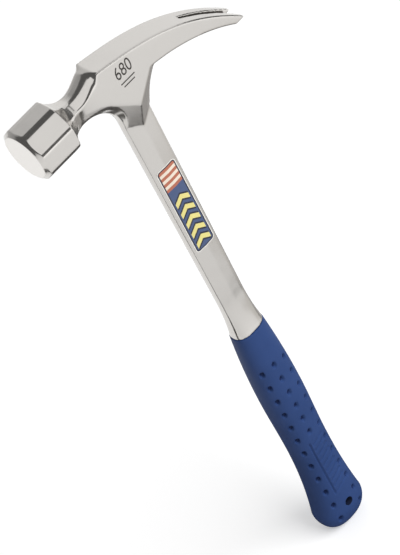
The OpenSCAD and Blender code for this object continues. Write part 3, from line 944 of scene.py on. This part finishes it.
def evenFinish(name, finish, colour):
    material = newMaterial(name)
    place = addNode(material, "ShaderNodeTexCoord").outputs["Object"]
    cloud = addNode(material, "ShaderNodeTexNoise",
                    {"Vector": place, "Scale": 1 / (finish["cloud"] * toMetres),
                     "Detail": finish["detail"]})
    low, high = finish["roughness"]
    rough = addNode(material, "ShaderNodeMapRange",
                    {"Value": cloud.outputs[0], "To Min": low, "To Max": high})
    shader = addNode(material, "ShaderNodeBsdfPrincipled",
                     {"Base Color": linear(colour), "Metallic": finish["metallic"],
                      "Roughness": rough.outputs[0]})
    return finishMaterial(material, shader)


def finishPiece(obj, materials, nodes=(), rounded=True):
    obj.data.transform(Matrix.Scale(toMetres, 4))
    for material in materials:
        obj.data.materials.append(material)
    obj.data.polygons.foreach_set("use_smooth", [rounded] * len(obj.data.polygons))
    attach(obj, "root")
    if nodes:
        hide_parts(*nodes)
    print("placed", obj.name)


# The painted shade lies on faces that look sideways, from behind the slot's root to before its
# mouth, and leaves a bright edge on top
slotShade = {"fromRoot": 2, "toTip": 5, "brightEdge": 0.9, "beside": 1, "sideways": 0.6}
groundFace = {"flatness": 0.97, "depth": 0.3}


def isSlotWall(polygon):
    x, y, z = polygon.center
    fromX = tipX - head["slotLength"] + slotShade["fromRoot"]
    if not fromX < x < tipX - slotShade["toTip"]:
        return False
    clawRun = clawReach + head["tipSpare"] + head["cheekFront"]
    depth = topPoint((x - axisX + head["cheekFront"]) / clawRun)[1] - z
    return (depth > slotShade["brightEdge"] and abs(polygon.normal.y) > slotShade["sideways"]
            and abs(y) < head["slotMouth"] / 2 + slotShade["beside"])


def isStrikingFace(polygon):
    return (polygon.normal.x < -groundFace["flatness"]
            and polygon.center.x < faceX + groundFace["depth"])


steelSkin = polishedSteel()
forgingSkin = meltTogether("hammer_forging", [makeNeck(), makeClaw(), makeWeb(), makeShank()],
                           forging["skin"])
# Walls of the nail slot get the darker steel, painted shade
for polygon in forgingSkin.data.polygons:
    polygon.material_index = int(isSlotWall(polygon))
finishPiece(forgingSkin, [steelSkin, oxideAndShadeSteel("slot_wall_painted_shade_steel")],
            ["forged_body"])
headSkin = meltTogether("striking_head", [makeStrikingHead()], forging["headSkin"])
for polygon in headSkin.data.polygons:
    polygon.material_index = int(isStrikingFace(polygon))
finishPiece(headSkin, [steelSkin, evenFinish("fine_ground_steel", ground, ground["colour"])])
finishPiece(makeGrip(), [mouldedVinyl(name) for name in vinylTones], ["moulded_grip"])
labelInks = [evenFinish("screen_ink_" + name, film, colour) for name, colour in inks.items()]
finishPiece(makeLabel(), labelInks, ["shank_label"], rounded=False)
finishPiece(makeMark(), [oxideAndShadeSteel("laser_blackened_steel")], rounded=False)

# Camera at the photograph's angle; distances in metres, angles in degrees
view = {"azimuth": -25.415, "elevation": 43.431, "roll": -28.206, "distance": 1.9998,
        "look": (-0.0185, 0, 0.23201), "focal": 3598.7, "imageWidth": 400, "sensor": 36,
        "clipEnd": 20}
azimuth, elevation, roll = (math.radians(view[k]) for k in ("azimuth", "elevation", "roll"))
back = Vector((math.sin(azimuth) * math.cos(elevation), -math.cos(azimuth) * math.cos(elevation),
               math.sin(elevation)))
level = Vector((0, 0, 1)).cross(back).normalized()
upright = back.cross(level)
right = math.cos(roll) * level + math.sin(roll) * upright
up = -math.sin(roll) * level + math.cos(roll) * upright
camera = bpy.data.objects.new("camera", bpy.data.cameras.new("camera"))
camera.data.sensor_fit = "HORIZONTAL"
camera.data.sensor_width = view["sensor"]
camera.data.lens = view["sensor"] * view["focal"] / view["imageWidth"]
camera.data.clip_end = view["clipEnd"]
camera.matrix_world = Matrix.Translation(Vector(view["look"]) + back * view["distance"]) @ Matrix(
    (right, up, back)).transposed().to_4x4()
bpy.context.scene.collection.objects.link(camera)
bpy.context.scene.camera = camera
print("camera set")

# Pale paper floor: it keeps the hammer's shadow, and the camera and the steel see a glow of its
# own on it. Distances in metres
studio = {"floorSize": 6, "paper": "#e9e9e9", "floorGlow": 0.37, "ambient": 0.32,
          "mirrored": 0.12, "aim": (0, 0, 0.3), "lampDistance": 3, "panelDistance": 1.5}
bm = bmesh.new()
addSheet(bm, Matrix.Identity(4), studio["floorSize"], studio["floorSize"])
floor = newObject("floor", bm)
floorPaint = newMaterial("matt_white_paper")
rays = addNode(floorPaint, "ShaderNodeLightPath")
seen = addNode(floorPaint, "ShaderNodeMath",
               {0: rays.outputs["Is Camera Ray"], 1: rays.outputs["Is Glossy Ray"]},
               operation="MAXIMUM")
paper = addNode(floorPaint, "ShaderNodeBsdfDiffuse", {"Color": linear(studio["paper"])})
glow = addNode(floorPaint, "ShaderNodeEmission",
               {"Color": (1, 1, 1, 1), "Strength": studio["floorGlow"]})
lit = addNode(floorPaint, "ShaderNodeAddShader", {0: paper.outputs[0], 1: glow.outputs[0]})
both = addNode(floorPaint, "ShaderNodeMixShader",
               {0: seen.outputs[0], 1: paper.outputs[0], 2: lit.outputs[0]})
finishMaterial(floorPaint, both)
floor.data.materials.append(floorPaint)


# Place round the hammer in a direction, and that direction at length 1
def aroundHammer(direction, distance):
    unit = Vector(direction).normalized()
    return Vector(studio["aim"]) + unit * distance, unit


def turnTo(obj, place, facing):
    obj.location = place
    obj.rotation_mode = "QUATERNION"
    obj.rotation_quaternion = Vector(facing).to_track_quat("Z", "Y")


# Card that only the steel mirrors: it hangs at place and looks along facing
def hangCard(name, place, facing, size, paint):
    bm = bmesh.new()
    addSheet(bm, Matrix.Identity(4), *size)
    card = newObject(name, bm)
    turnTo(card, place, facing)
    card.data.materials.append(paint)
    for sight in ("camera", "diffuse", "shadow", "transmission"):
        setattr(card, "visible_" + sight, False)


# Cards that lie on the floor and tone what each of the steel's facets mirrors of it; places
# and sizes in metres
greyCards = {
    "front": {"place": (0.2, -0.46, 0.001), "size": (1.1, 0.64), "shade": "#fefefe"},
    "under": {"place": (0.02, -0.02, 0.002), "size": (0.26, 0.3), "shade": "#5c5a58"},
    "beside": {"place": (0.24, -0.02, 0.002), "size": (0.18, 0.2), "shade": "#b4b2b0"},
    "right": {"place": (0.235, -0.215, 0.002), "size": (0.19, 0.19), "shade": "#e4e2df"},
    "left": {"place": (-0.28, -0.015, 0.002), "size": (0.28, 0.11), "shade": "#4c4a48"},
    "behind": {"place": (0.24, 0.32, 0.002), "size": (0.4, 0.42), "shade": "#6a6a68"},
}
for name, card in greyCards.items():
    paint = newMaterial("grey_card_" + name)
    matt = addNode(paint, "ShaderNodeBsdfDiffuse", {"Color": linear(card["shade"])})
    finishMaterial(paint, matt)
    hangCard("card_" + name, card["place"], (0, 0, 1), card["size"], paint)

# Lit white panels stand where a studio's softboxes would show in the steel
panels = {
    "front": {"direction": (-0.08, -0.7, 0.66), "size": (2.4, 0.9), "glow": 1.05},
    "side": {"direction": (0.72, 0.16, 0.64), "size": (1.4, 1.0), "glow": 0.95},
    "corner": {"direction": (0.68, -0.68, 0.32), "size": (0.9, 1.0), "glow": 0.95},
}
for name, panel in panels.items():
    paint = newMaterial("lit_panel_" + name)
    finishMaterial(paint, addNode(paint, "ShaderNodeEmission", {"Strength": panel["glow"]}))
    place, direction = aroundHammer(panel["direction"], studio["panelDistance"])
    hangCard("panel_" + name, place, -direction, panel["size"], paint)

# White paper wall behind, lit more towards the claw's side: its glow at three places along x,
# in metres
paperWall = {"place": (0.6, 1.7, 1.1), "size": (5, 2.2), "left": -1.9, "leftGlow": 0.3,
             "middle": 0.8, "middleGlow": 0.76, "right": 1.2, "rightGlow": 1.04}
leftX, middleX, rightX = (paperWall[key] - paperWall["place"][0]
                          for key in ("left", "middle", "right"))
wallPaint = newMaterial("lit_paper_wall")
along = addNode(wallPaint, "ShaderNodeSeparateXYZ",
                {0: addNode(wallPaint, "ShaderNodeTexCoord").outputs["Object"]}).outputs["X"]
dimSide = addNode(wallPaint, "ShaderNodeMapRange",
                  {"Value": along, "From Min": leftX, "From Max": middleX,
                   "To Min": paperWall["leftGlow"], "To Max": paperWall["middleGlow"]})
brightSide = addNode(wallPaint, "ShaderNodeMapRange",
                     {"Value": along, "From Min": middleX, "From Max": rightX, "To Min": 0,
                      "To Max": paperWall["rightGlow"] - paperWall["middleGlow"]})
glow = addNode(wallPaint, "ShaderNodeMath", {0: dimSide.outputs[0], 1: brightSide.outputs[0]},
               operation="ADD")
lit = addNode(wallPaint, "ShaderNodeEmission", {"Strength": glow.outputs[0]})
finishMaterial(wallPaint, lit)
hangCard("paper_wall", paperWall["place"], (0, -1, 0), paperWall["size"], wallPaint)

# The world is white to the camera, a soft ambient light to the rest, and dim to the steel,
# which mirrors the panels and the wall there
world = bpy.data.worlds.new("studio")
world.use_nodes = True
world.node_tree.nodes.clear()
rays = addNode(world, "ShaderNodeLightPath")
dim = addNode(world, "ShaderNodeMix",
              {0: rays.outputs["Is Glossy Ray"], 2: studio["ambient"], 3: studio["mirrored"]},
              data_type="FLOAT")
bright = addNode(world, "ShaderNodeMix",
                 {0: rays.outputs["Is Camera Ray"], 2: dim.outputs[0], 3: 1.0}, data_type="FLOAT")
sky = addNode(world, "ShaderNodeBackground",
              {"Color": (1, 1, 1, 1), "Strength": bright.outputs[0]})
addNode(world, "ShaderNodeOutputWorld", {"Surface": sky.outputs[0]})
bpy.context.scene.world = world

# The lamps give the soft light and the shadow; the steel mirrors the panels in their stead
lamps = {
    "key": {"direction": (0.38, -0.67, 0.64), "size": (2.8, 1.7), "power": 88},
    "fill": {"direction": (0.31, 0.66, 0.69), "size": (2.6, 2.6), "power": 12},
}
for name, box in lamps.items():
    lamp = bpy.data.lights.new("softbox_" + name, "AREA")
    lamp.shape = "RECTANGLE"
    lamp.size, lamp.size_y = box["size"]
    lamp.energy = box["power"]
    lampObj = bpy.data.objects.new(lamp.name, lamp)
    turnTo(lampObj, *aroundHammer(box["direction"], studio["lampDistance"]))
    lampObj.visible_glossy = False
    bpy.context.scene.collection.objects.link(lampObj)
bpy.context.scene.view_settings.view_transform = "Standard"
print("stage set")
